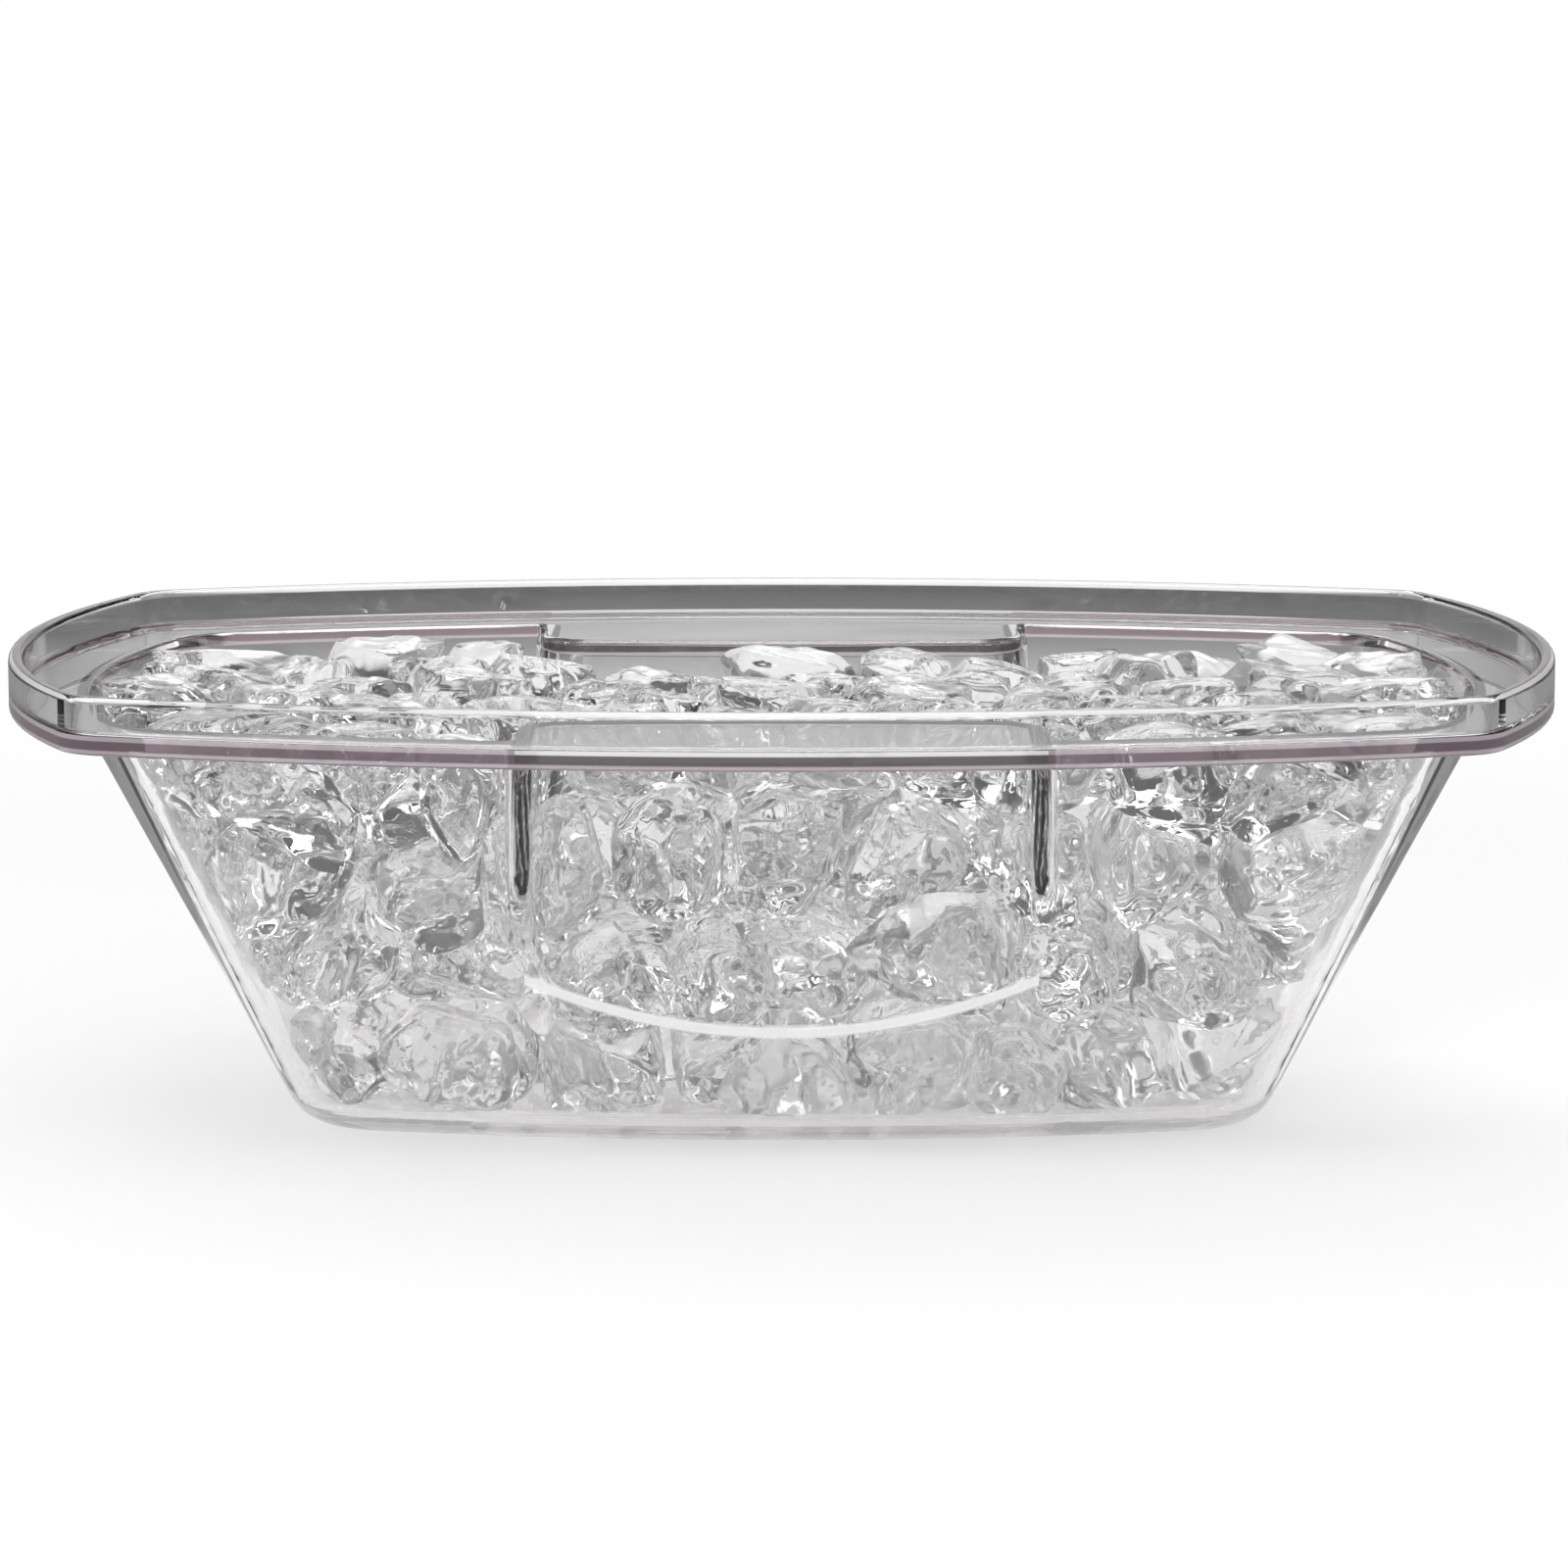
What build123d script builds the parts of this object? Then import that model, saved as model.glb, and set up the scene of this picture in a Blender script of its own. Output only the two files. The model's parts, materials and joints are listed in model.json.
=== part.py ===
# Chilled serving bowl: one clear moulding with a shelf, a lip and two grip recesses, full of clear ice.
# Millimetres, +Z up. The origin is on the table under the middle of the bowl, X runs along its length,
# and the front grip faces -Y.
from build123d import *
import os
from math import atan2, cos, hypot, pi, radians, sin, sqrt, tan
from random import Random

import numpy as np

# Overall sizes
length = 400.0
width = 262.0
height = 122.0

# Outline seen from above: four large arcs with rounded corners
side_bow_radius = 560.0
end_bow_radius = 225.0
rim_corner_radius = 16.0

# Rim: a flat shelf round the mouth, with an upright lip on its outer edge
lip_height = 10.0
lip_thickness = 4.0
lip_top_round = 1.8
lip_foot_round = 1.5
shelf_thickness = 4.5
shelf_overhang = 17.5
shelf_edge_round = 1.2

# Basin
wall_flare = 27.7
wall_thickness = 4.5
floor_thickness = 5.5
basin_corner_radius = 30.0
base_edge_radius = 12.0
floor_edge_radius = 7.0
mouth_edge_round = 1.5

# Grip recesses under the rim, front and back
grip_width = 122.0
grip_depth = 37.5
grip_back_radius = 700.0
grip_back_draft = 1.5
grip_side_draft = 3.0
grip_corner_radius = 8.0
grip_edge_round = 4.0
grip_core_draft = 1.5
grip_core_round = 2.0

# Ice: each piece is the space nearest to its own centre, with melted edges; centres lie on a shaken grid
ice_pitch = 31.0
ice_shake = 0.26
ice_gap = 0.5
ice_edge_sharpness = 12.0
ice_corner_count = 30
ice_touch_reach = 1.5 * ice_pitch
ice_neighbour_reach = 3.0 * ice_pitch
ice_wall_clearance = 0.6
wall_facets = 30
ice_floor_clearance = 0.3
ice_edge_margin = 6.5
ice_headroom = 7.0
ice_top_drop = 6.0
ice_top_tilt = 10.0
ice_seed = 11
ice_place_width = 110.0
ice_layer_names = ("floor", "lower", "middle", "upper")

# How near to a level, or to the flared wall, an edge or a face counts as lying on it
same_level = 0.01
same_wall = 0.2

# Levels, slopes and centres that follow from the sizes
shelf_top = height - lip_height
shelf_bottom = shelf_top - shelf_thickness
shelf_levels = (shelf_top - same_level, shelf_top + same_level)
flare_run = tan(radians(wall_flare))
wall_across = wall_thickness / cos(radians(wall_flare))
inner_corner_radius = basin_corner_radius - wall_thickness
side_centre = width / 2 - side_bow_radius
end_centre = length / 2 - end_bow_radius
grip_back = width / 2 - shelf_overhang - grip_depth
grip_sink = shelf_bottom * tan(radians(grip_back_draft))
grip_core_spread = shelf_bottom * tan(radians(grip_core_draft))


def wall_inset(level):
    """Distance from the rim outline in to the outside of the basin wall at a level."""
    return shelf_overhang + (shelf_bottom - level) * flare_run


def bowed_sketch(inset, corner_radius=0.0):
    """The rim outline moved in by an inset: the overlap of four large circles, with rounded corners."""
    with BuildSketch(mode=Mode.PRIVATE) as outline:
        with Locations((0, side_centre)):
            Circle(side_bow_radius - inset)
        with Locations((0, -side_centre)):
            Circle(side_bow_radius - inset, mode=Mode.INTERSECT)
        with Locations((end_centre, 0)):
            Circle(end_bow_radius - inset, mode=Mode.INTERSECT)
        with Locations((-end_centre, 0)):
            Circle(end_bow_radius - inset, mode=Mode.INTERSECT)
        if corner_radius:
            fillet(outline.vertices(), corner_radius)
    return outline.sketch


def grip_block(side_draft, wall=0.0):
    """Block that fills the front grip recess and a wall round it: its sides spread and its curved back sinks
    in towards the base, so that the mould can leave it."""
    half_width = grip_width / 2 + wall
    half_foot = half_width + shelf_bottom * tan(radians(side_draft))
    with BuildPart(mode=Mode.PRIVATE) as block:
        with BuildSketch(Plane.XZ):
            with BuildLine():
                Polyline(
                    (-half_foot, 0),
                    (half_foot, 0),
                    (half_width, shelf_bottom),
                    (-half_width, shelf_bottom),
                    close=True,
                )
            make_face()
        extrude(amount=width / 2)
        with BuildSketch(Plane.XY.offset(shelf_bottom)):
            with Locations((0, wall - grip_back - grip_back_radius)):
                Circle(grip_back_radius)
        extrude(amount=-shelf_bottom, taper=-grip_back_draft, mode=Mode.INTERSECT)
        back_corners = block.edges().filter_by(is_upright).sort_by(Axis.Y)[-2:]
        fillet(back_corners, grip_corner_radius + wall)
    return block.part


def is_upright(edge):
    """True for an edge that climbs, and not one that lies level."""
    return edge.bounding_box().size.Z > 1


def grip_edges(part, depth=0.0):
    """Edges where the grips cut the outside of the flared wall, or its surface at a depth across the wall."""

    def cuts_wall(edge):
        middle = edge.position_at(0.5)
        reach = hypot(middle.X, abs(middle.Y) - side_centre)
        off_wall = reach - side_bow_radius + wall_inset(middle.Z) + depth
        above_floor = middle.Z > floor_thickness + floor_edge_radius
        return abs(off_wall) < same_wall and above_floor and middle.Z < shelf_bottom - same_level

    return part.edges().filter_by(cuts_wall).filter_by(is_beside_grip)


def is_beside_grip(edge):
    """True for an edge within the width that a grip and its wall take."""
    return abs(edge.center().X) < grip_width / 2 + grip_core_spread + 2 * wall_thickness


# Flared block with the outer shape of the basin
with BuildPart() as basin_block:
    with BuildSketch():
        add(bowed_sketch(wall_inset(0)))
    extrude(amount=shelf_bottom + shelf_thickness / 2, taper=-wall_flare)
    fillet(basin_block.edges().filter_by(is_upright), basin_corner_radius)
    fillet(basin_block.faces().sort_by(Axis.Z)[0].edges(), base_edge_radius)

# Space that the fingers take under the shelf, front and back
with BuildPart() as grip_space:
    add(grip_block(grip_side_draft))
    mirror(about=Plane.XZ)

# The same space with the wall round it, and with the shelf that roofs it
with BuildPart() as grip_casing:
    add(grip_block(grip_core_draft, wall_thickness))
    extrude(grip_casing.faces().sort_by(Axis.Z)[-1], amount=shelf_thickness)
    mirror(about=Plane.XZ)

# Hollow of the basin, from the floor out through the mouth
with BuildPart() as hollow:
    with BuildSketch(Plane.XY.offset(floor_thickness)):
        add(bowed_sketch(wall_inset(floor_thickness) + wall_across))
    extrude(amount=shelf_top - floor_thickness, taper=-wall_flare)
    fillet(hollow.edges().filter_by(is_upright), inner_corner_radius)
    fillet(hollow.faces().sort_by(Axis.Z)[0].edges(), floor_edge_radius)
    add(grip_casing.part, mode=Mode.SUBTRACT)
    fillet(grip_edges(hollow, wall_across), grip_core_round)

os.makedirs("parts", exist_ok=True)

with BuildPart() as bowl:
    with BuildSketch(Plane.XY.offset(shelf_bottom)):
        add(bowed_sketch(0, rim_corner_radius))
    extrude(amount=height - shelf_bottom)
    with BuildSketch(Plane.XY.offset(shelf_top)):
        add(bowed_sketch(lip_thickness, rim_corner_radius - lip_thickness))
    extrude(amount=lip_height, mode=Mode.SUBTRACT)
    fillet(bowl.edges().group_by(Axis.Z)[-1], lip_top_round)
    fillet(bowl.faces().filter_by(Plane.XY).sort_by(Axis.Z)[0].edges(), shelf_edge_round)
    fillet(bowl.edges().filter_by_position(Axis.Z, *shelf_levels), lip_foot_round)
    add(basin_block.part)
    add(grip_space.part, mode=Mode.SUBTRACT)
    fillet(grip_edges(bowl), grip_edge_round)
    add(hollow.part, mode=Mode.SUBTRACT)
    shelf_face = bowl.faces().filter_by(Plane.XY).filter_by_position(Axis.Z, *shelf_levels)[0]
    fillet(shelf_face.inner_wires()[0].edges(), mouth_edge_round)
bowl.part.label = "bowl"
export_step(bowl.part, "parts/bowl.step")


def hollow_corner(level):
    """Centre of the rounded corner of the hollow in its +X +Y quarter, where two large circles cross."""
    inset = wall_inset(level) + wall_across + inner_corner_radius
    side_radius = side_bow_radius - inset
    end_radius = end_bow_radius - inset
    apart = hypot(end_centre, side_centre)
    along = (side_radius**2 - end_radius**2 + apart**2) / (2 * apart)
    across = sqrt(side_radius**2 - along**2)
    step_x = end_centre / apart
    step_y = -side_centre / apart
    return along * step_x + across * step_y, side_centre + along * step_y - across * step_x


def hollow_reach(angle, level):
    """How far the hollow reaches from its middle, at a level, in a direction of the +X +Y quarter."""
    corner_x, corner_y = hollow_corner(level)
    inset = wall_inset(level) + wall_across
    if angle >= atan2(corner_y - side_centre, corner_x):
        return side_centre * sin(angle) + side_bow_radius - inset
    if angle <= atan2(corner_y, corner_x - end_centre):
        return end_centre * cos(angle) + end_bow_radius - inset
    return corner_x * cos(angle) + corner_y * sin(angle) + inner_corner_radius


def half_space(normal, limit):
    """A row (a, b, c, d) for the points with a x + b y + c z + d <= 0, made from any normal and its limit."""
    size = sqrt(sum(part**2 for part in normal))
    return [part / size for part in normal] + [-limit / size]


def hollow_sides():
    """Flat sides that lie just inside the hollow's wall, its rounded floor edge and its floor."""
    bevel = radians(wall_flare + 90) / 2
    bevel_level = floor_thickness + floor_edge_radius
    rows = [half_space((0, 0, -1), -floor_thickness - ice_floor_clearance)]
    for angle in np.linspace(0, radians(90), wall_facets + 1):
        low = hollow_reach(angle, floor_thickness)
        slope = (hollow_reach(angle, shelf_top) - low) / (shelf_top - floor_thickness)
        steep = sqrt(1 + slope**2)
        limit = low - slope * floor_thickness - ice_wall_clearance * steep
        bevel_reach = low + slope * floor_edge_radius - floor_edge_radius * steep
        bevel_depth = bevel_reach * cos(bevel) - bevel_level * sin(bevel) + floor_edge_radius
        bevel_limit = bevel_depth - ice_wall_clearance
        for x_side in (1, -1):
            for y_side in (1, -1):
                x_part = x_side * cos(angle)
                y_part = y_side * sin(angle)
                rows.append(half_space((x_part, y_part, -slope), limit))
                rows.append(half_space((x_part * cos(bevel), y_part * cos(bevel), -sin(bevel)), bevel_limit))
    return np.array(rows)


def grip_side(centre):
    """The flat side that keeps a piece of ice off the nearer grip casing, and its centre's distance to it."""
    back_limit = grip_back - grip_sink - wall_thickness - ice_wall_clearance
    side_limit = grip_width / 2 + grip_core_spread + wall_thickness + ice_wall_clearance
    x_sign = 1 if centre[0] > 0 else -1
    y_sign = 1 if centre[1] > 0 else -1
    behind = back_limit - abs(centre[1])
    beside = abs(centre[0]) - side_limit
    if behind >= beside:
        return half_space((0, y_sign, 0), back_limit), behind
    return half_space((-x_sign, 0, 0), -side_limit), beside


def ice_centres(rows, shake):
    """Centres of the pieces of ice, a list for each layer, on a shaken grid of staggered rows."""
    layer_pitch = (height - ice_headroom - floor_thickness) / len(ice_layer_names)
    row_pitch = ice_pitch * sin(radians(60))
    columns = int(length / ice_pitch) // 2 + 1
    lines = int(width / row_pitch) // 2 + 1
    layers = []
    for layer in range(len(ice_layer_names)):
        centres = []
        for line in range(-lines, lines + 1):
            for column in range(-columns, columns + 1):
                stagger = ((line + layer) % 2) / 2
                x = (column + stagger + shake.uniform(-ice_shake, ice_shake)) * ice_pitch
                y = (line + (layer % 2) / 2 + shake.uniform(-ice_shake, ice_shake)) * row_pitch
                z = floor_thickness + (layer + 0.5 + shake.uniform(-ice_shake, ice_shake)) * layer_pitch
                centre = np.array((x, y, z))
                wall_room = -(rows[:, :3] @ centre + rows[:, 3]).max()
                if min(wall_room, grip_side(centre)[1]) > ice_edge_margin:
                    centres.append(centre)
        layers.append(centres)
    return layers


def spread_directions(count):
    """Directions spread evenly over a globe: equal steps down, and a golden-angle turn for each step."""
    step = np.arange(count) + 0.5
    down = 1 - 2 * step / count
    out = np.sqrt(1 - down**2)
    turn = step * pi * (3 - sqrt(5))
    return np.column_stack([out * np.cos(turn), out * np.sin(turn), down])


def ice_corners(centre, all_centres, rows, shake):
    """Corner points of one melted piece of ice, in the space between its neighbours, the bowl and the top.

    A flat side at a distance d along its normal n takes up the share max(n.u, 0) / d of a direction u. The
    reach along u is the sum of all shares to the power of the edge sharpness, and then its root, inverted:
    sides stay where they are, and the edges between them melt. The bowl's many sides count as one, by the
    largest share among them.
    """
    others = all_centres - centre
    far = np.linalg.norm(others, axis=1)
    near = (far > 0) & (far < ice_neighbour_reach)
    normals = others[near] / far[near, None]
    tilt = tan(radians(ice_top_tilt))
    top_normal = np.array((shake.uniform(-tilt, tilt), shake.uniform(-tilt, tilt), 1))
    top_normal /= np.linalg.norm(top_normal)
    top_level = height - ice_headroom - shake.uniform(0, ice_top_drop)
    grip_row, grip_room = grip_side(centre)
    side_normals = np.vstack([normals, top_normal, (0, 0, 1), grip_row[:3]])
    side_depths = np.hstack(
        [
            far[near] / 2 - ice_gap / 2,
            (top_level - centre[2]) * top_normal[2],
            height - ice_headroom - centre[2],
            grip_room,
        ]
    )
    bowl_depths = -(rows[:, :3] @ centre + rows[:, 3])
    touching = normals[far[near] < ice_touch_reach]
    to_wall = rows[bowl_depths.argmin(), :3]
    ways = np.vstack([spread_directions(ice_corner_count), touching, to_wall, (0, 0, -1)])
    shares = np.clip(ways @ side_normals.T, 0, None) / side_depths
    bowl_share = np.clip(ways @ rows[:, :3].T / bowl_depths, 0, None).max(axis=1)
    powers = (shares**ice_edge_sharpness).sum(axis=1) + bowl_share**ice_edge_sharpness
    return centre + ways * powers[:, None] ** (-1 / ice_edge_sharpness)


def place_name(centre):
    """Which third of the bowl's length a piece of ice lies in."""
    if abs(centre[0]) < ice_place_width / 2:
        return "centre"
    return "left" if centre[0] < 0 else "right"


shake = Random(ice_seed)
bowl_sides = hollow_sides()
ice_layers = ice_centres(bowl_sides, shake)
every_centre = np.vstack(ice_layers)
for layer_name, centres in zip(ice_layer_names, ice_layers):
    pieces = {"left": [], "centre": [], "right": []}
    for centre in centres:
        pieces[place_name(centre)].append(ice_corners(centre, every_centre, bowl_sides, shake))
    for place, corner_lists in pieces.items():
        with BuildPart() as ice:
            for corners in corner_lists:
                ConvexPolyhedron(corners.tolist())
        ice.part.label = f"ice_{layer_name}_{place}"
        export_step(ice.part, f"parts/{ice.part.label}.step")
        print(ice.part.label, len(ice.solids()), round(ice.part.volume))
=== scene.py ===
"""Chilled serving bowl: a clear moulded tub full of ice, finished for a studio picture.

Metres, +Z up, the origin on the table under the middle of the bowl, the front grip towards -Y.
"""

import json
import logging
from dataclasses import dataclass
from enum import Enum
from math import atan, cos, radians, sin, tan
from typing import ClassVar

import bpy
import numpy as np
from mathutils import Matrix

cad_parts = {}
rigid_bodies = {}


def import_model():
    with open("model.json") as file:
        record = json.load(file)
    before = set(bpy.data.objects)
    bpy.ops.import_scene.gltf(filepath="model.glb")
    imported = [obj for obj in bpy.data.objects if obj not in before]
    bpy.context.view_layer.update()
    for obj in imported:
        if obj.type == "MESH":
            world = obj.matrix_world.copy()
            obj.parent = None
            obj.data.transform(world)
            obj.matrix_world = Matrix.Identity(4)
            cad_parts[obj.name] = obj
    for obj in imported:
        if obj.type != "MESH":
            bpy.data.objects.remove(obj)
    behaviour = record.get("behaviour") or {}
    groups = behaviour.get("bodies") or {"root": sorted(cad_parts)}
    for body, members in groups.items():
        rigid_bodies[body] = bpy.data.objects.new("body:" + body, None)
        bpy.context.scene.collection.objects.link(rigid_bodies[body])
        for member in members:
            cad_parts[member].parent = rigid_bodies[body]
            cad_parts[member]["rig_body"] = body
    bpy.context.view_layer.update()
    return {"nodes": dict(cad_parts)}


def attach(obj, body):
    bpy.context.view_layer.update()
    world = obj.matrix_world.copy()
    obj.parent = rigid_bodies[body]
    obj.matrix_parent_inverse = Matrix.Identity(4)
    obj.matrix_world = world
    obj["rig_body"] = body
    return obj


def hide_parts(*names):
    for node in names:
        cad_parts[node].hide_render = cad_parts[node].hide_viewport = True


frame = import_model()

LIGHT_BOUNCES = 28
GLOSSY_BOUNCES = 8
CLEAR_LAYERS = 40
POLES = 2
log = logging.getLogger("chilled_serving_bowl")


class Slot(Enum):
    """The record's material slots."""

    CLEAR_PLASTIC = "clear_plastic"
    ICE = "ice"


class Graph:
    """The node tree of a material or a world, with short calls that add and join nodes."""

    def __init__(self, tree: bpy.types.NodeTree) -> None:
        """Empties a node tree and keeps it."""
        tree.nodes.clear()
        self.tree = tree

    def node(self, kind: str, **settings: object) -> bpy.types.Node:
        """Adds a node and sets its properties and sockets.

        Args:
            kind: the node's type without the word ShaderNode.
            settings: properties by name; a name that isn't a property is an input socket,
                with underscores for the spaces in the socket's name.

        Returns:
            The new node.
        """
        made = self.tree.nodes.new("ShaderNode" + kind)
        for name, value in settings.items():
            if name in made.bl_rna.properties:
                setattr(made, name, value)
            else:
                made.inputs[name.replace("_", " ")].default_value = value
        return made

    def join(self, source: bpy.types.NodeSocket, target: bpy.types.NodeSocket) -> None:
        """Joins an output socket to an input socket."""
        self.tree.links.new(source, target)

    def sum_of(self, operation: str, first: object, second: object = 0.0) -> bpy.types.NodeSocket:
        """One step of arithmetic.

        Args:
            operation: the Math node's operation.
            first: a socket or a number.
            second: a socket or a number.

        Returns:
            The socket that holds the result.
        """
        made = self.node("Math", operation=operation)
        for socket, value in zip(made.inputs, (first, second)):
            if isinstance(value, bpy.types.NodeSocket):
                self.join(value, socket)
            else:
                socket.default_value = value
        return made.outputs[0]

    def span(self, first: bpy.types.NodeSocket, second: bpy.types.NodeSocket) -> bpy.types.NodeSocket:
        """The length of a step of two parts: the root of the sum of their squares."""
        squares = [self.sum_of("MULTIPLY", part, part) for part in (first, second)]
        return self.sum_of("SQRT", self.sum_of("ADD", *squares))

    def blend(self, share: bpy.types.NodeSocket, first: object, second: object) -> bpy.types.NodeSocket:
        """Goes from a first colour to a second as a share goes from 0 to 1.

        Args:
            share: the socket that is read.
            first: a socket or a colour.
            second: a socket or a colour.

        Returns:
            The socket that holds the colour.
        """
        made = self.node("Mix", data_type="RGBA")
        self.join(share, made.inputs["Factor"])
        colours = [socket for socket in made.inputs if socket.type == "RGBA"]
        for socket, value in zip(colours, (first, second)):
            if isinstance(value, bpy.types.NodeSocket):
                self.join(value, socket)
            else:
                socket.default_value = value
        return next(socket for socket in made.outputs if socket.type == "RGBA")

    def bands(self, value: bpy.types.NodeSocket, stops: tuple[tuple[float, tuple[float, ...]], ...]
              ) -> bpy.types.NodeSocket:
        """Bands of colour along a value.

        Args:
            value: the socket that is read, from 0 to 1.
            stops: where each colour stands, and the colour.

        Returns:
            The socket that holds the colour.
        """
        made = self.node("ValToRGB")
        self.join(value, made.inputs[0])
        marks = made.color_ramp.elements
        while len(marks) < len(stops):
            marks.new(1.0)
        for mark, (place, colour) in zip(marks, stops):
            mark.position = place
            mark.color = colour
        return made.outputs["Color"]

    def ramp(self, value: bpy.types.NodeSocket, low: float, high: float, start: float, end: float
             ) -> bpy.types.NodeSocket:
        """Eases from start to end while a value goes from low to high.

        Args:
            value: the socket that is read.
            low: where the ramp starts.
            high: where the ramp ends.
            start: the result at low.
            end: the result at high.

        Returns:
            The socket that holds the result.
        """
        made = self.node("MapRange", interpolation_type="SMOOTHSTEP")
        self.join(value, made.inputs["Value"])
        for name, number in (("From Min", low), ("From Max", high), ("To Min", start), ("To Max", end)):
            made.inputs[name].default_value = number
        return made.outputs["Result"]


def new_material(name: str) -> tuple[bpy.types.Material, Graph]:
    """Makes an empty node material.

    Args:
        name: the material's name.

    Returns:
        The material and its node graph.
    """
    material = bpy.data.materials.new(name)
    material.use_nodes = True
    return material, Graph(material.node_tree)


def let_lamps_through(graph: Graph, shader: bpy.types.NodeSocket, tint: tuple[float, ...]
                      ) -> bpy.types.NodeSocket:
    """Lets lamp light pass a clear surface: shadow rays meet a tinted clear film, all others the shader.

    Args:
        graph: the material's node graph.
        shader: the surface's shader.
        tint: the colour that one crossing leaves of the light.

    Returns:
        The mixed shader's socket.
    """
    path = graph.node("LightPath")
    film = graph.node("BsdfTransparent", Color=tint)
    mix = graph.node("MixShader")
    graph.join(path.outputs["Is Shadow Ray"], mix.inputs["Fac"])
    graph.join(shader, mix.inputs[1])
    graph.join(film.outputs[0], mix.inputs[2])
    return mix.outputs[0]


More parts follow.
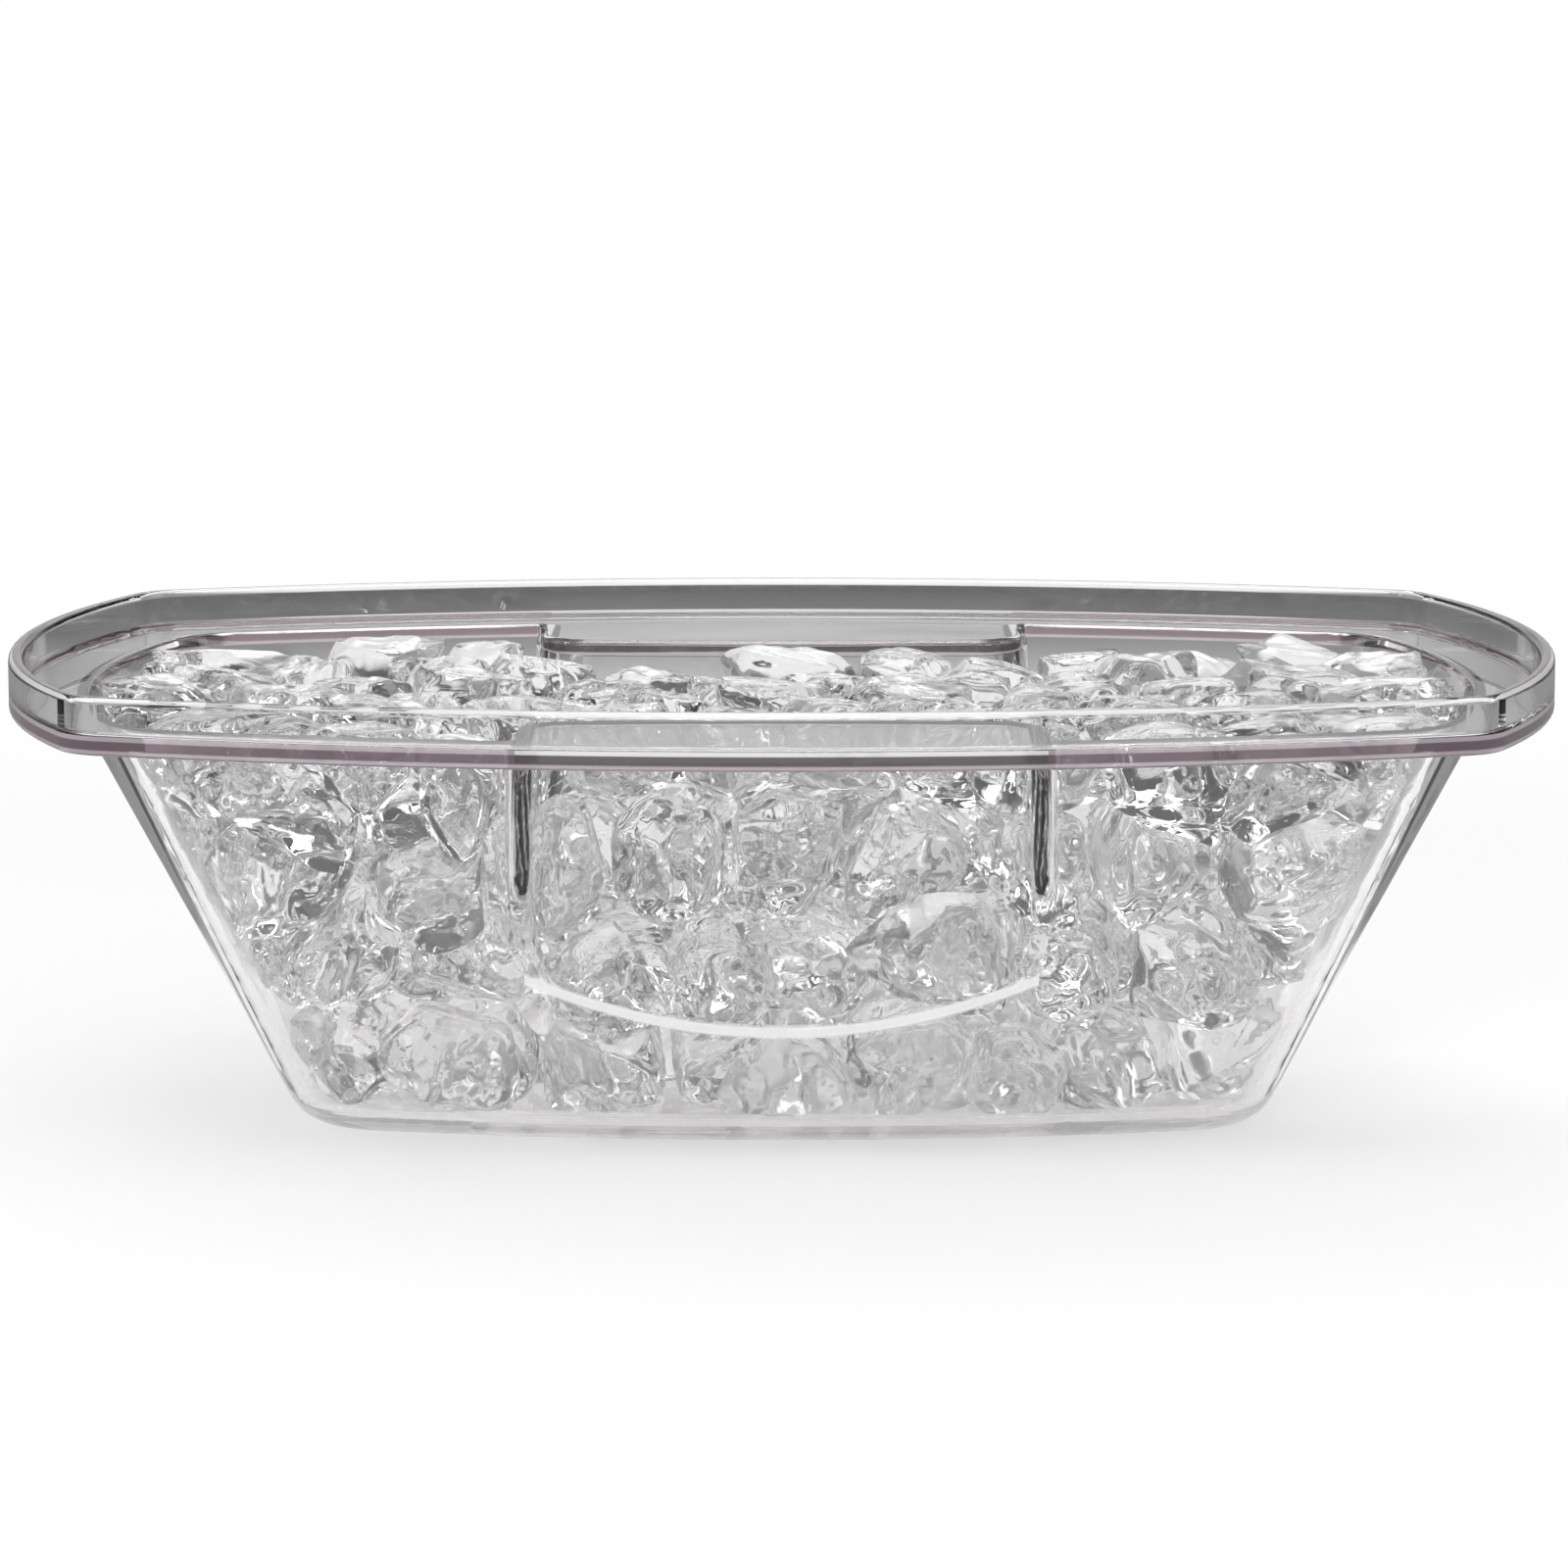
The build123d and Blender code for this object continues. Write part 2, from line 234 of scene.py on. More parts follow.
@dataclass(frozen=True)
class PlasticFinish:
    """Clear injection-moulded plastic: glossy, with satin lines on the rim coloured as painted shade and
    painted highlights, and a painted highlight on the crease at a grip.

    The places of the walls, grips and rim repeat the sizes of the moulding, in metres and degrees.
    """

    refraction: float = 1.54
    roughness: float = 0.012
    tint: tuple[float, ...] = (0.985, 0.98, 0.985, 1.0)
    depth_colour: tuple[float, ...] = (0.86, 0.84, 0.85, 1.0)
    depth_density: float = 19.0
    shadow_tint: tuple[float, ...] = (0.94, 0.94, 0.94, 1.0)
    flow_scale: float = 14.0
    flow_detail: float = 1.5
    flow_strength: float = 1.0
    flow_height: float = 0.00012
    wall_bow: float = 0.56
    wall_centre: float = -0.429
    wall_foot: float = 0.0739
    wall_flare: float = 27.7
    grip_bow: float = 0.7
    grip_centre: float = 0.776
    grip_foot: float = 0.0028
    grip_draft: float = 1.5
    grip_half: float = 0.0645
    # Painted highlight: a whitened, frosted band along the crease under the grip stands in for the crease's
    # highlight.
    crease_highlight_core: float = 0.0004
    crease_highlight_edge: float = 0.0011
    crease_highlight_roughness: float = 0.3
    crease_highlight_clear: float = 0.12
    end_bow: float = 0.225
    end_centre: float = -0.025
    edge_low: float = 0.107
    edge_high: float = 0.1127
    edge_depth: float = 0.0036
    edge_fade: float = 0.0005
    # Painted shade and painted highlights: colours of bands up the rim's edge, plum and dark shade between
    # pale and white highlight lines; the white is also painted along the lip's top.
    shade_foot_colour: tuple[float, ...] = (0.26, 0.215, 0.235, 1.0)
    pale_highlight_colour: tuple[float, ...] = (0.55, 0.48, 0.52, 1.0)
    plum_shade_colour: tuple[float, ...] = (0.19, 0.145, 0.165, 1.0)
    dark_shade_colour: tuple[float, ...] = (0.13, 0.115, 0.12, 1.0)
    white_highlight_colour: tuple[float, ...] = (0.97, 0.96, 0.97, 1.0)
    painted_band_marks: tuple[float, ...] = (0.0, 0.17, 0.22, 0.32, 0.38, 0.73, 0.79, 1.0)
    edge_clear: float = 0.3
    edge_roughness: float = 0.06
    # Painted highlight: where the white line along the top of the lip lies.
    lip_line: float = 0.1211
    lip_depth: float = 0.001

    def bowed_depth(self, graph: Graph, place: bpy.types.Node, bow: float, centre: float, foot: float,
                    slope: float) -> bpy.types.NodeSocket:
        """Distance from a bowed wall that leans: |hypot(x, |y| - centre) - bow + foot - slope z|.

        Args:
            graph: the material's node graph.
            place: the node with the split coordinates.
            bow: the wall's radius seen from above.
            centre: where the middle of that radius lies along |y|.
            foot: how far the wall stands in at the floor.
            slope: how far it moves out with each metre up.

        Returns:
            The socket that holds the distance.
        """
        across = graph.sum_of("SUBTRACT", graph.sum_of("ABSOLUTE", place.outputs["Y"]), centre)
        reach = graph.sum_of("SUBTRACT", graph.span(place.outputs["X"], across), bow - foot)
        return graph.sum_of(
            "ABSOLUTE", graph.sum_of("SUBTRACT", reach, graph.sum_of("MULTIPLY", place.outputs["Z"], slope))
        )

    def painted_crease_highlight(self, graph: Graph, spot: bpy.types.NodeSocket) -> bpy.types.NodeSocket:
        """A painted highlight, a whitened frosted band, along the crease below a grip: 1 where its back
        meets the wall, 0 elsewhere.

        Args:
            graph: the material's node graph.
            spot: the object coordinates.

        Returns:
            The socket that holds the share of painted highlight.
        """
        place = graph.node("SeparateXYZ")
        graph.join(spot, place.inputs[0])
        wall = self.bowed_depth(
            graph, place, self.wall_bow, self.wall_centre, self.wall_foot, tan(radians(self.wall_flare))
        )
        grip = self.bowed_depth(
            graph, place, self.grip_bow, self.grip_centre, -self.grip_foot, -tan(radians(self.grip_draft))
        )
        along = graph.sum_of("ABSOLUTE", place.outputs["X"])
        within = graph.sum_of("LESS_THAN", along, self.grip_half)
        near = graph.sum_of("MAXIMUM", wall, grip)
        return graph.sum_of("MULTIPLY", graph.ramp(near, self.crease_highlight_core, self.crease_highlight_edge, 1.0, 0.0), within)

    def rim_satin_and_painted_bands(self, graph: Graph, spot: bpy.types.NodeSocket
                 ) -> tuple[bpy.types.NodeSocket, bpy.types.NodeSocket]:
        """The satin edges of the rim, on the shelf between two levels and along the top of the lip, coloured
        with bands of painted shade and painted highlight.

        The distance from the bowed outline is max(hypot(x, |y| - c) - r, hypot(|x| - e, y) - s), with the
        sides' radius r and middle c and the ends' radius s and middle e.

        Args:
            graph: the material's node graph.
            spot: the object coordinates.

        Returns:
            The socket that holds the share of satin, which also places the painted bands, and the one with
            the colour of painted shade and painted highlight.
        """
        place = graph.node("SeparateXYZ")
        graph.join(spot, place.inputs[0])
        along = graph.sum_of("ABSOLUTE", place.outputs["X"])
        across = graph.sum_of("ABSOLUTE", place.outputs["Y"])
        side = graph.span(along, graph.sum_of("SUBTRACT", across, self.wall_centre))
        end = graph.span(graph.sum_of("SUBTRACT", along, self.end_centre), across)
        off_side = graph.sum_of("SUBTRACT", side, self.wall_bow)
        off_end = graph.sum_of("SUBTRACT", end, self.end_bow)
        off = graph.sum_of("MAXIMUM", off_side, off_end)
        near = graph.sum_of("GREATER_THAN", off, -self.edge_depth)
        above = graph.ramp(place.outputs["Z"], self.edge_low - self.edge_fade, self.edge_low, 0.0, 1.0)
        below = graph.ramp(place.outputs["Z"], self.edge_high - self.edge_fade, self.edge_high, 1.0, 0.0)
        shelf = graph.sum_of("MULTIPLY", near, graph.sum_of("MULTIPLY", above, below))
        # The lip's top gets a painted highlight line.
        on_top = graph.ramp(place.outputs["Z"], self.lip_line - self.edge_fade, self.lip_line, 0.0, 1.0)
        lip = graph.sum_of("MULTIPLY", on_top, graph.sum_of("GREATER_THAN", off, -self.lip_depth))
        # Painted shade and painted highlights: colour bands by height up the shelf's edge, plum shade beside
        # the grip, dark shade with a white top line over it.
        height = graph.node("MapRange", From_Min=self.edge_low, From_Max=self.edge_high)
        graph.join(place.outputs["Z"], height.inputs["Value"])
        beside = graph.bands(height.outputs["Result"], self.painted_edge_bands(self.plum_shade_colour, self.pale_highlight_colour))
        painted_over_grip = graph.bands(height.outputs["Result"], self.painted_edge_bands(self.dark_shade_colour, self.white_highlight_colour))
        within = graph.sum_of("LESS_THAN", along, self.grip_half)
        painted_on_shelf = graph.blend(within, beside, painted_over_grip)
        return graph.sum_of("MAXIMUM", shelf, lip), graph.blend(lip, painted_on_shelf, self.white_highlight_colour)

    def painted_edge_bands(self, middle: tuple[float, ...], top: tuple[float, ...]
                   ) -> tuple[tuple[float, tuple[float, ...]], ...]:
        """Bands of painted colour up the shelf's edge: a foot of painted shade, a pale painted highlight
        line, a wide middle and a top line.

        Args:
            middle: the colour of the wide band, a painted shade.
            top: the colour of the top line, a painted highlight.

        Returns:
            Where each colour starts and ends, as a share of the height, and the colour.
        """
        starts, ends = self.painted_band_marks[::2], self.painted_band_marks[1::2]
        colours = (self.shade_foot_colour, self.pale_highlight_colour, middle, top)
        pairs = [((start, colour), (end, colour)) for start, end, colour in zip(starts, ends, colours)]
        return tuple(stop for pair in pairs for stop in pair)

    def material(self) -> bpy.types.Material:
        """Makes the finish: refraction with absorption by depth, a slow waviness, duller edges whose colour
        is painted shade and painted highlight, and a painted highlight along the crease.

        Returns:
            The material.
        """
        material, graph = new_material(Slot.CLEAR_PLASTIC.value)
        place = graph.node("TexCoord")
        flow = graph.node("TexNoise", Scale=self.flow_scale, Detail=self.flow_detail)
        graph.join(place.outputs["Object"], flow.inputs["Vector"])
        wave = graph.node("Bump", Strength=self.flow_strength, Distance=self.flow_height)
        graph.join(flow.outputs["Fac"], wave.inputs["Height"])
        body = graph.node("BsdfPrincipled", IOR=self.refraction)
        # The crease gets a painted highlight.
        painted_crease_highlight = self.painted_crease_highlight(graph, place.outputs["Object"])
        # The rim's edge gets bands of painted shade and painted highlight.
        edge, painted_edge_colour = self.rim_satin_and_painted_bands(graph, place.outputs["Object"])
        graph.join(graph.blend(edge, self.tint, painted_edge_colour), body.inputs["Base Color"])
        rough = graph.sum_of(
            "MAXIMUM",
            graph.ramp(painted_crease_highlight, 0.0, 1.0, self.roughness, self.crease_highlight_roughness),
            graph.ramp(edge, 0.0, 1.0, self.roughness, self.edge_roughness),
        )
        graph.join(rough, body.inputs["Roughness"])
        # Less clear where the crease highlight and the rim's bands are painted, so their white and colours
        # show matt.
        clear = graph.sum_of(
            "MINIMUM",
            graph.ramp(painted_crease_highlight, 0.0, 1.0, 1.0, self.crease_highlight_clear),
            graph.ramp(edge, 0.0, 1.0, 1.0, self.edge_clear),
        )
        graph.join(clear, body.inputs["Transmission Weight"])
        graph.join(wave.outputs["Normal"], body.inputs["Normal"])
        depth = graph.node("VolumeAbsorption", Color=self.depth_colour, Density=self.depth_density)
        out = graph.node("OutputMaterial")
        graph.join(let_lamps_through(graph, body.outputs[0], self.shadow_tint), out.inputs["Surface"])
        graph.join(depth.outputs[0], out.inputs["Volume"])
        return material


@dataclass(frozen=True)
class IceFinish:
    """Clear melting ice: wet and glossy, with cloudy patches and fine ripples."""

    refraction: float = 1.31
    wet_roughness: float = 0.0
    cloudy_roughness: float = 0.07
    colour: tuple[float, ...] = (0.979, 0.98, 0.98, 1.0)
    shadow_tint: tuple[float, ...] = (0.95, 0.95, 0.95, 1.0)
    cloud_scale: float = 55.0
    cloud_detail: float = 3.0
    cloud_start: float = 0.58
    cloud_end: float = 0.85
    least_clear: float = 0.82
    ripple_scale: float = 190.0
    ripple_detail: float = 2.0
    ripple_strength: float = 0.6
    ripple_height: float = 0.00025

    def material(self) -> bpy.types.Material:
        """Makes the finish: refraction, with cloudy patches that are rougher and partly white.

        Returns:
            The material.
        """
        material, graph = new_material("clear_ice")
        place = graph.node("TexCoord")
        cloud = graph.node("TexNoise", Scale=self.cloud_scale, Detail=self.cloud_detail)
        graph.join(place.outputs["Object"], cloud.inputs["Vector"])
        piece = graph.node("Attribute", attribute_name=IceBed.cloud_attribute)
        mixed = graph.sum_of("ADD", cloud.outputs["Fac"], piece.outputs["Fac"])
        roughness = graph.ramp(
            mixed, self.cloud_start, self.cloud_end, self.wet_roughness, self.cloudy_roughness
        )
        clear = graph.ramp(mixed, self.cloud_start, self.cloud_end, 1.0, self.least_clear)
        ripple = graph.node("TexNoise", Scale=self.ripple_scale, Detail=self.ripple_detail)
        graph.join(place.outputs["Object"], ripple.inputs["Vector"])
        wave = graph.node("Bump", Strength=self.ripple_strength, Distance=self.ripple_height)
        graph.join(ripple.outputs["Fac"], wave.inputs["Height"])
        body = graph.node("BsdfPrincipled", Base_Color=self.colour, IOR=self.refraction)
        graph.join(roughness, body.inputs["Roughness"])
        graph.join(clear, body.inputs["Transmission Weight"])
        graph.join(wave.outputs["Normal"], body.inputs["Normal"])
        out = graph.node("OutputMaterial")
        graph.join(let_lamps_through(graph, body.outputs[0], self.shadow_tint), out.inputs["Surface"])
        return material


@dataclass
class Bowl:
    """The clear tub, a single moulding."""

    node: str = "bowl"

    def dress(self, finish: PlasticFinish) -> None:
        """Gives the moulding its finish.

        Args:
            finish: the plastic.
        """
        mesh = frame["nodes"][self.node].data
        mesh.materials.clear()
        mesh.materials.append(finish.material())
        log.info("%s: %d faces", self.node, len(mesh.polygons))


@dataclass
class IceBed:
    """The loose ice: each solid of an ice node becomes a melted lump inside that solid's own space."""

    node_prefix: str = "ice_"
    rings: int = 46
    spokes: int = 70
    edge_sharpness: float = 30.0
    dent_count: int = 6
    dent_depth: float = 0.3
    dent_free: float = 0.12
    dent_length: float = 0.026
    dent_stretch: tuple[float, ...] = (0.22, 1.2)
    bubble_count: int = 6
    bubble_rings: int = 5
    bubble_spokes: int = 8
    bubble_reach: float = 0.6
    bubble_size: tuple[float, ...] = (0.03, 0.13)
    bubble_stretch: tuple[float, ...] = (0.5, 1.0)
    cloud_spread: float = 0.16
    low_layers: tuple[str, ...] = ("ice_floor", "ice_lower")
    low_cloud: float = 0.08
    weld_grain: float = 1e-5
    plane_grain: float = 1e-3
    seed: int = 8
    cloud_attribute: ClassVar[str] = "cloud"

    def solids(self, node: bpy.types.Object) -> list[np.ndarray]:
        """Splits a node's loose triangles into its closed solids.

        Corners at the same place are merged. Each merged corner starts with its own label, triangles pass
        the lowest label round their corners until nothing changes, and a label left over is one solid.

        Args:
            node: the node's object.

        Returns:
            An array of triangles, (count, 3, 3), for each solid.
        """
        mesh = node.data
        mesh.calc_loop_triangles()
        places = np.empty(len(mesh.vertices) * 3)
        mesh.vertices.foreach_get("co", places)
        places = places.reshape(-1, 3)
        ends = np.empty(len(mesh.loop_triangles) * 3, np.int32)
        mesh.loop_triangles.foreach_get("vertices", ends)
        ends = ends.reshape(-1, 3)
        merged = np.unique(np.round(places / self.weld_grain), axis=0, return_inverse=True)[1].reshape(-1)
        joined = merged[ends]
        label = np.arange(merged.max() + 1)
        while True:
            lowest = label.copy()
            np.minimum.at(lowest, joined, label[joined].min(axis=1, keepdims=True))
            if (lowest == label).all():
                break
            label = lowest
        group = label[joined[:, 0]]
        return [places[ends[group == each]] for each in np.unique(group)]

    def directions(self, rings: int, spokes: int) -> np.ndarray:
        """Directions over a globe of rings and spokes, then its two poles.

        Args:
            rings: how many rings lie between the poles.
            spokes: how many directions a ring has.

        Returns:
            Unit vectors, (rings * spokes + POLES, 3).
        """
        tilts = np.linspace(0, np.pi, rings + POLES)[1:-1]
        turns = np.linspace(0, 2 * np.pi, spokes, endpoint=False)
        tilt, turn = np.meshgrid(tilts, turns, indexing="ij")
        globe = np.stack([np.sin(tilt) * np.cos(turn), np.sin(tilt) * np.sin(turn), np.cos(tilt)], axis=-1)
        return np.vstack([globe.reshape(-1, 3), (0, 0, 1), (0, 0, -1)])

    def faces(self, rings: int, spokes: int) -> tuple[np.ndarray, np.ndarray]:
        """Faces of the globe, seen from outside anticlockwise.

        Args:
            rings: how many rings lie between the poles.
            spokes: how many directions a ring has.

        Returns:
            Quads between the rings, (count, 4), and triangles round the poles, (count, 3).
        """
        grid = np.arange(rings * spokes).reshape(rings, spokes)
        beside = np.roll(grid, -1, axis=1)
        quads = np.stack([grid[:-1], grid[1:], beside[1:], beside[:-1]], axis=-1).reshape(-1, 4)
        top = np.full(spokes, grid.size)
        caps = [
            np.stack([top, grid[0], beside[0]], axis=-1),
            np.stack([top + 1, beside[-1], grid[-1]], axis=-1),
        ]
        return quads, np.vstack(caps)

    def one_piece(self) -> tuple[np.ndarray, np.ndarray]:
        """Faces of a lump and its bubbles; a bubble's faces look inwards, into the air.

        Returns:
            Quads, (count, 4), and triangles, (count, 3).
        """
        parts = self.faces(self.rings, self.spokes)
        small = self.faces(self.bubble_rings, self.bubble_spokes)
        start = self.rings * self.spokes + POLES
        step = self.bubble_rings * self.bubble_spokes + POLES
        shifts = start + step * np.arange(self.bubble_count)[:, None, None]
        inward = [(shifts + faces[None, :, ::-1]).reshape(-1, faces.shape[1]) for faces in small]
        return np.vstack([parts[0], inward[0]]), np.vstack([parts[1], inward[1]])

    def lump(self, solid: np.ndarray, globe: np.ndarray, draw: np.random.Generator) -> np.ndarray:
        """A melted lump inside a convex solid.

        The reach in a direction u is (sum over the flat sides of (max(n.u, 0) / d)^p)^(-1/p), with a side's
        normal n, its distance d from the middle and the edge sharpness p: the solid with rounded edges,
        swollen until it just touches a side. Scallops then draw the reach in by up to the dent depth: the
        mean of a few |sin| waves of random direction, which leaves sharp ridges between hollows. The share
        of the lump that is dented least keeps its full reach.

        Args:
            solid: the solid's triangles.
            globe: directions from the middle.
            draw: the source of random numbers.

        Returns:
            Points of the lump, one for each direction.
        """
        middle = solid.reshape(-1, 3).mean(axis=0)
        normals = np.cross(solid[:, 1] - solid[:, 0], solid[:, 2] - solid[:, 0])
        sizes = np.linalg.norm(normals, axis=1, keepdims=True)
        kept = sizes[:, 0] > 0
        normals = normals[kept] / sizes[kept]
        first = np.unique(np.round(normals / self.plane_grain), axis=0, return_index=True)[1]
        sides = normals[first]
        depths = np.einsum("ij,ij->i", sides, solid[kept][first, 0] - middle)
        facing = np.clip(globe @ sides.T, 0, None) / depths
        soft = (facing ** self.edge_sharpness).sum(axis=1) ** (-1 / self.edge_sharpness)
        reach = soft / (soft * facing.max(axis=1)).max()
        places = globe * reach[:, None]
        waves = draw.normal(size=(3, self.dent_count))
        waves /= np.linalg.norm(waves, axis=0)
        waves *= np.pi / (self.dent_length * draw.uniform(*self.dent_stretch, self.dent_count))
        phases = draw.uniform(0, np.pi, self.dent_count)
        dents = np.abs(np.sin(places @ waves + phases)).mean(axis=1)
        dents = np.clip(dents - np.quantile(dents, self.dent_free), 0, None)
        return middle + places * (1 - self.dent_depth * dents[:, None])

    def bubbles(self, lump: np.ndarray, globe: np.ndarray, draw: np.random.Generator) -> np.ndarray:
        """Air bubbles inside a lump: small stretched globes round random points near its middle.

        Args:
            lump: the lump's points.
            globe: directions from a bubble's middle.
            draw: the source of random numbers.

        Returns:
            Points of the bubbles, (count * directions, 3).
        """
        middle = lump.mean(axis=0)
        room = np.linalg.norm(lump - middle, axis=1).min()
        ways = draw.normal(size=(self.bubble_count, 3))
        ways /= np.linalg.norm(ways, axis=1, keepdims=True)
        far = self.bubble_reach * room * draw.uniform(size=(self.bubble_count, 1))
        radii = room * draw.uniform(*self.bubble_size, (self.bubble_count, 1))
        radii = radii * draw.uniform(*self.bubble_stretch, (self.bubble_count, 3))
        return ((middle + ways * far)[:, None] + globe * radii[:, None]).reshape(-1, 3)

    def build(self, finish: IceFinish) -> None:
        """Makes the lumps of every ice node, a piece for each node, and dresses them.

        Each lump has its own cloudiness, and the low layers have more of it.

        Args:
            finish: the ice.
        """
        draw = np.random.default_rng(self.seed)
        material = finish.material()
        globe = self.directions(self.rings, self.spokes)
        small = self.directions(self.bubble_rings, self.bubble_spokes)
        quads, caps = self.one_piece()
        size = len(globe) + self.bubble_count * len(small)
        for name in sorted(frame["nodes"]):
            if not name.startswith(self.node_prefix):
                continue
            solids = self.solids(frame["nodes"][name])
            lumps = [self.lump(solid, globe, draw) for solid in solids]
            points = [np.vstack([lump, self.bubbles(lump, small, draw)]) for lump in lumps]
            shifts = np.arange(len(solids)) * size
            all_quads = (quads[None] + shifts[:, None, None]).reshape(-1, 4)
            all_caps = (caps[None] + shifts[:, None, None]).reshape(-1, 3)
            clouds = np.repeat(draw.uniform(-self.cloud_spread, self.cloud_spread, len(solids)), size)
            if name.startswith(self.low_layers):
                clouds += self.low_cloud
            mesh = bpy.data.meshes.new(f"{name}_lumps")
            faces = all_quads.tolist() + all_caps.tolist()
            mesh.from_pydata(np.vstack(points).tolist(), [], faces, shade_flat=False)
            mesh.attributes.new(self.cloud_attribute, "FLOAT", "POINT").data.foreach_set("value", clouds)
            mesh.materials.append(material)
            piece = bpy.data.objects.new(f"{name}_lumps", mesh)
            bpy.context.scene.collection.objects.link(piece)
            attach(piece, frame["nodes"][name]["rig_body"])
            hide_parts(name)
            log.info("%s: %d lumps, %d faces", piece.name, len(solids), len(mesh.polygons))


@dataclass(frozen=True)
class SoftBox:
    """A square lamp: its name, its place, the length of its side and its power in watts."""

    name: str
    place: tuple[float, ...]
    size: float
    watts: float


@dataclass
class Studio:
    """White sweep, soft light and the camera."""

    floor_reach: float = 30.0
    floor_colour: tuple[float, ...] = (0.9, 0.9, 0.9, 1.0)
    shadow_inner: float = 0.3
    shadow_outer: float = 0.75
    sweep_inner: float = 0.45
    sweep_outer: float = 1.1
    sweep_drop: float = 0.88
    arm_half: tuple[float, ...] = (0.15, 0.07)
    arm_fade: float = 0.05
    arm_drop: float = 0.7
    panel_count: int = 4
    panel_level: float = 0.8
    gap_level: float = 0.03
    panel_start: float = 0.0
    panel_end: float = 0.7
    strip_start: float = 0.75
    strip_end: float = 0.95
    strip_level: float = 1.7
    strip_low: float = 0.2
    strip_high: float = 0.35
    ceiling_level: float = 0.05
    ceiling_start: float = 0.3
    ceiling_end: float = 0.6
    lamps: tuple[SoftBox, ...] = (
        SoftBox("overhead_box", (0.0, -0.1, 1.3), 0.5, 4.0),
        SoftBox("left_box", (-1.1, -0.5, 0.9), 0.35, 3.5),
        SoftBox("right_box", (1.2, -0.3, 0.7), 0.3, 1.4),
    )
    lamp_aim: tuple[float, ...] = (0.0, 0.0, 0.06)
    camera_target: tuple[float, ...] = (0.0006, 0.0, 0.122)
    camera_distance: float = 1.7164
    camera_tilt: float = 7.757
    target_rise: float = 146.85
    focal_pixels: float = 6724.0
    frame_pixels: float = 1600.0
    sensor_width: float = 36.0

    def light_world(self) -> None:
        """Surrounds the set with pale panels, dark gaps between them and a dim ceiling.

        In the direction (x, y, z) the level goes from the gap's to the panel's with the cosine of the panel
        count times the turn round Z from +Y, and from there to the ceiling's as z climbs. Glossy and clear
        surfaces show these panels; the camera itself sees plain white, and matt surfaces get even light.
        Reflections also show a strip light up the middle of each panel, above the low level.
        """
        world = bpy.data.worlds.new("studio")
        world.use_nodes = True
        bpy.context.scene.world = world
        graph = Graph(world.node_tree)
        way = graph.node("SeparateXYZ")
        graph.join(graph.node("TexCoord").outputs["Generated"], way.inputs[0])
        turn = graph.sum_of("ARCTAN2", way.outputs["X"], way.outputs["Y"])
        wave = graph.sum_of("COSINE", graph.sum_of("MULTIPLY", turn, self.panel_count))
        panels = graph.ramp(wave, self.panel_start, self.panel_end, self.gap_level, self.panel_level)
        height = graph.ramp(way.outputs["Z"], self.ceiling_start, self.ceiling_end, 0.0, 1.0)
        dimmed = graph.sum_of("SUBTRACT", self.ceiling_level, panels)
        level = graph.sum_of("ADD", panels, graph.sum_of("MULTIPLY", dimmed, height))
        path = graph.node("LightPath")
        shown = graph.sum_of("MAXIMUM", path.outputs["Is Glossy Ray"], path.outputs["Is Transmission Ray"])
        change = graph.sum_of("MULTIPLY", graph.sum_of("SUBTRACT", level, 1.0), shown)
        strips = graph.ramp(wave, self.strip_start, self.strip_end, 0.0, self.strip_level)
        raised = graph.ramp(way.outputs["Z"], self.strip_low, self.strip_high, 0.0, 1.0)
        boxes = graph.sum_of("MULTIPLY", strips, raised)
        mirrored = graph.sum_of("MULTIPLY", boxes, path.outputs["Is Glossy Ray"])
        strength = graph.sum_of("ADD", graph.sum_of("ADD", 1.0, change), mirrored)
        back = graph.node("Background")
        graph.join(strength, back.inputs["Strength"])
        graph.join(back.outputs[0], graph.node("OutputWorld").inputs["Surface"])

    def lay_floor(self) -> None:
        """Lays a pale floor that keeps the shadow near the bowl and turns plain white further out.

        Seen in glossy and clear surfaces, the white is a cross with arms about as wide as the bowl. It dims
        with min(|x| - a, |y| - b) between the arms, and more with the distance from the middle, so that
        clear edges show dark.
        """
        reach = self.floor_reach
        mesh = bpy.data.meshes.new("floor")
        mesh.from_pydata(
            [(-reach, -reach, 0), (reach, -reach, 0), (reach, reach, 0), (-reach, reach, 0)],
            [],
            [(0, 1, 2, 3)],
        )
        material, graph = new_material("pale_floor")
        place = graph.node("TexCoord")
        span = graph.node("VectorMath", operation="LENGTH")
        graph.join(place.outputs["Object"], span.inputs[0])
        outside = graph.ramp(span.outputs["Value"], self.shadow_inner, self.shadow_outer, 0.0, 1.0)
        path = graph.node("LightPath")
        shown = graph.sum_of("MAXIMUM", path.outputs["Is Glossy Ray"], path.outputs["Is Transmission Ray"])
        looked = graph.sum_of("MAXIMUM", shown, path.outputs["Is Camera Ray"])
        far = graph.ramp(span.outputs["Value"], self.sweep_inner, self.sweep_outer, 0.0, 1.0)
        parts = graph.node("SeparateXYZ")
        graph.join(place.outputs["Object"], parts.inputs[0])
        over = [
            graph.sum_of("SUBTRACT", graph.sum_of("ABSOLUTE", parts.outputs[axis]), half)
            for axis, half in zip(("X", "Y"), self.arm_half)
        ]
        beside = graph.ramp(graph.sum_of("MINIMUM", *over), 0.0, self.arm_fade, 0.0, 1.0)
        dim = graph.sum_of("MULTIPLY", graph.sum_of("MAXIMUM", far, beside), shown)
        losses = [
            graph.sum_of("MULTIPLY", part, drop)
            for part, drop in ((far, self.sweep_drop), (beside, self.arm_drop))
        ]
        loss = graph.sum_of("MULTIPLY", graph.sum_of("MAXIMUM", *losses), shown)
        level = graph.sum_of("SUBTRACT", 1.0, loss)
        matt = graph.node("BsdfDiffuse", Color=self.floor_colour)
        white = graph.node("Emission")
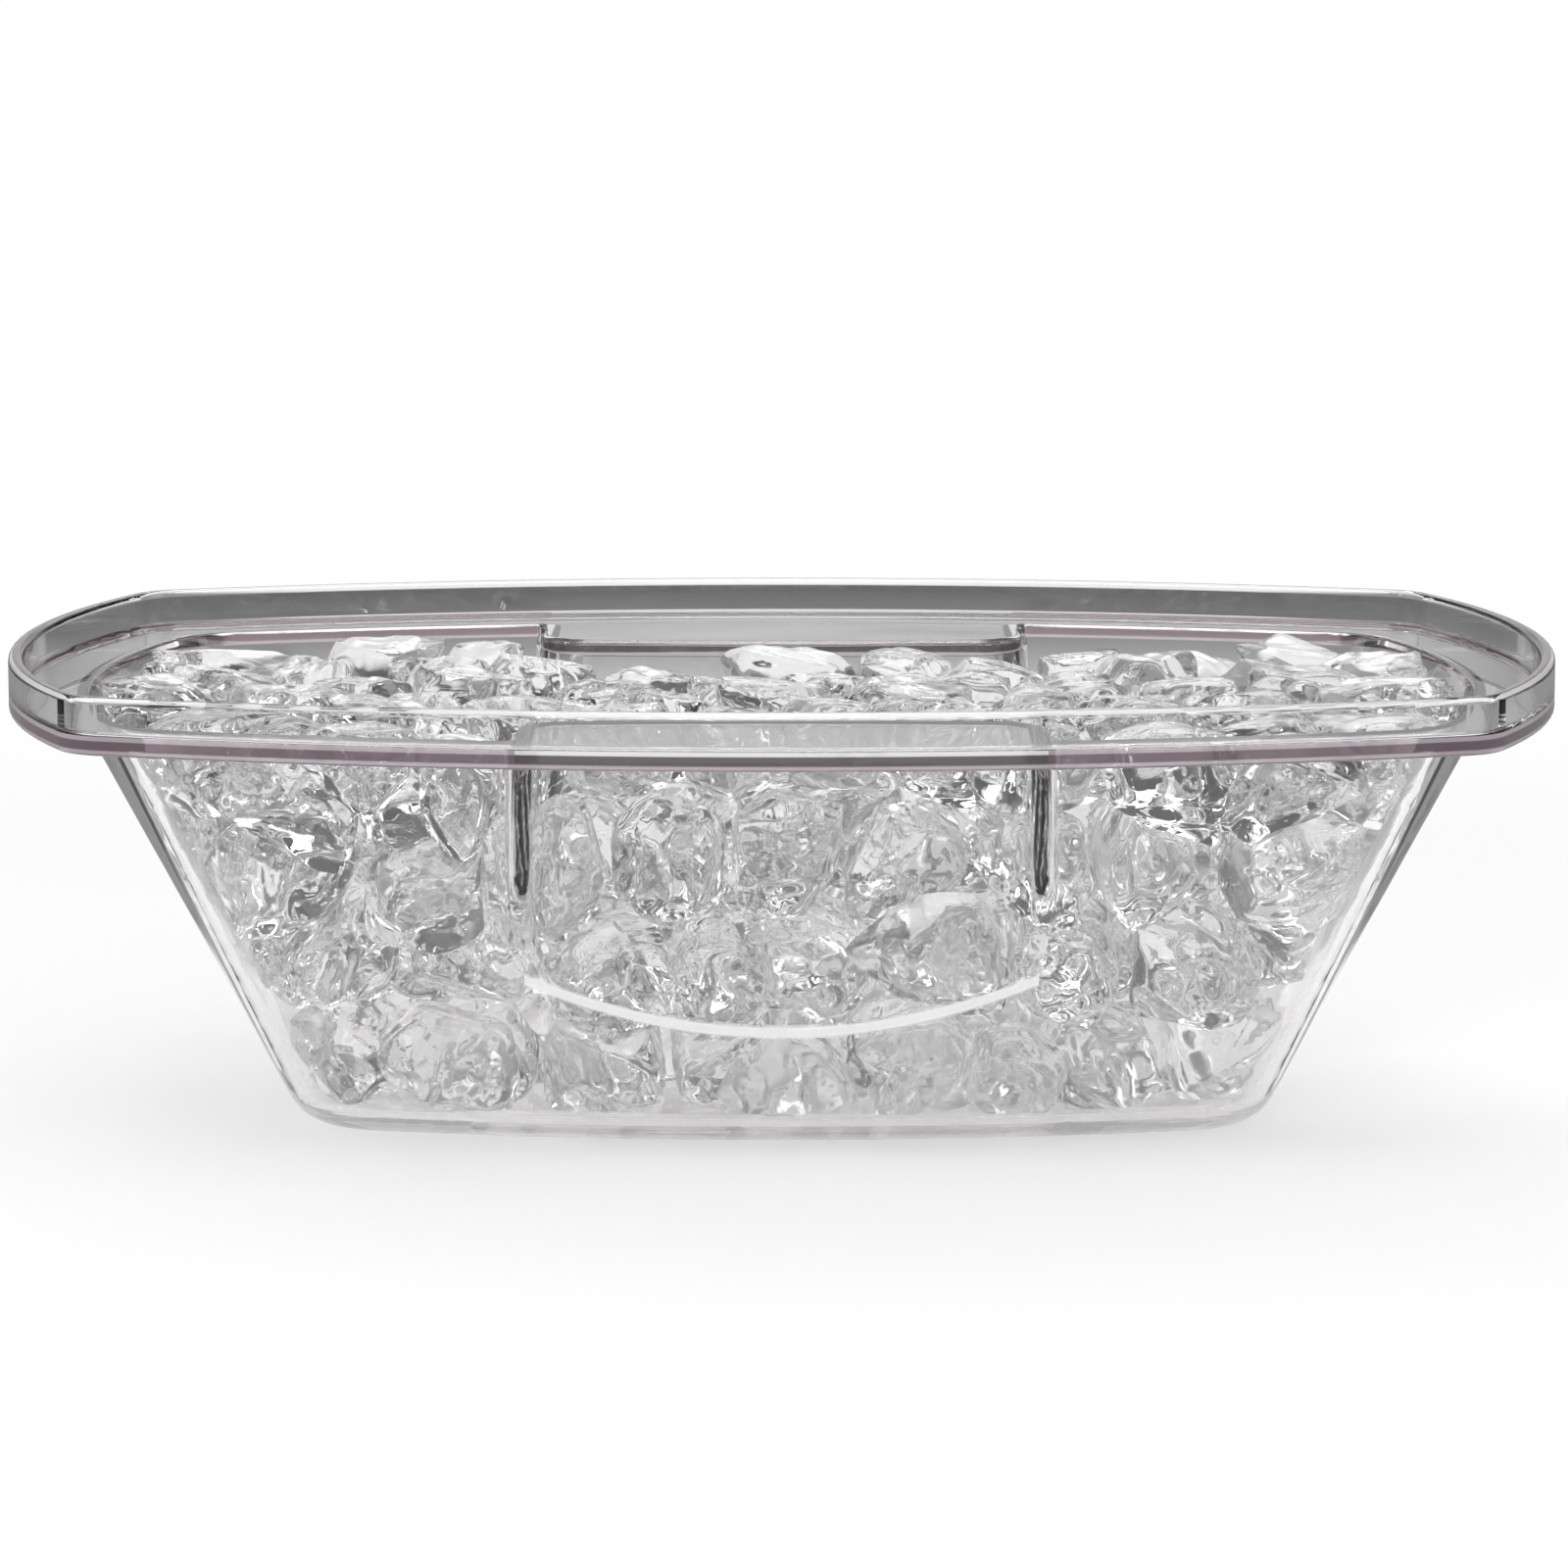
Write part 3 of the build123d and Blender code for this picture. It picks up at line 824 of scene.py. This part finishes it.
        graph.join(level, white.inputs["Strength"])
        mix = graph.node("MixShader")
        bare = graph.sum_of("MAXIMUM", graph.sum_of("MULTIPLY", outside, looked), dim)
        graph.join(bare, mix.inputs["Fac"])
        graph.join(matt.outputs[0], mix.inputs[1])
        graph.join(white.outputs[0], mix.inputs[2])
        graph.join(mix.outputs[0], graph.node("OutputMaterial").inputs["Surface"])
        mesh.materials.append(material)
        floor = bpy.data.objects.new("floor", mesh)
        bpy.context.scene.collection.objects.link(floor)

    def hang_lamp(self, box: SoftBox) -> None:
        """Hangs a soft box and turns it to the point that the lamps face.

        Args:
            box: the lamp.
        """
        data = bpy.data.lights.new(box.name, "AREA")
        data.size = box.size
        data.energy = box.watts
        lamp = bpy.data.objects.new(box.name, data)
        lamp.location = box.place
        way = np.subtract(self.lamp_aim, box.place)
        turn = np.arctan2(way[1], way[0]) - np.pi / 2
        tilt = np.arctan2(np.hypot(way[0], way[1]), -way[2])
        lamp.rotation_euler = (tilt, 0.0, turn)
        lamp.visible_camera = False
        bpy.context.scene.collection.objects.link(lamp)

    def place_camera(self) -> None:
        """Sets the camera at the picture's viewing angle; the target shows a set rise above the middle."""
        data = bpy.data.cameras.new("camera")
        data.sensor_width = self.sensor_width
        data.lens = self.focal_pixels / self.frame_pixels * self.sensor_width
        data.clip_end = 2 * self.floor_reach
        camera = bpy.data.objects.new("camera", data)
        tilt = radians(self.camera_tilt)
        x, y, z = self.camera_target
        back = self.camera_distance * cos(tilt)
        camera.location = (x, y - back, z + self.camera_distance * sin(tilt))
        drop = tilt + atan(self.target_rise / self.focal_pixels)
        camera.rotation_euler = (radians(90) - drop, 0.0, 0.0)
        bpy.context.scene.collection.objects.link(camera)
        bpy.context.scene.camera = camera

    def build(self) -> None:
        """Makes the whole set."""
        self.light_world()
        self.lay_floor()
        for box in self.lamps:
            self.hang_lamp(box)
        self.place_camera()


def set_view() -> None:
    """Plain colour view, and enough light bounces for many clear layers."""
    scene = bpy.context.scene
    scene.view_settings.view_transform = "Standard"
    scene.cycles.max_bounces = LIGHT_BOUNCES
    scene.cycles.transmission_bounces = LIGHT_BOUNCES
    scene.cycles.glossy_bounces = GLOSSY_BOUNCES
    scene.cycles.transparent_max_bounces = CLEAR_LAYERS


def main() -> None:
    """Builds the set, the bowl and the ice."""
    logging.basicConfig(level=logging.INFO, format="%(name)s: %(message)s")
    set_view()
    Studio().build()
    Bowl().dress(PlasticFinish())
    IceBed().build(IceFinish())


if __name__ == "__main__":
    main()
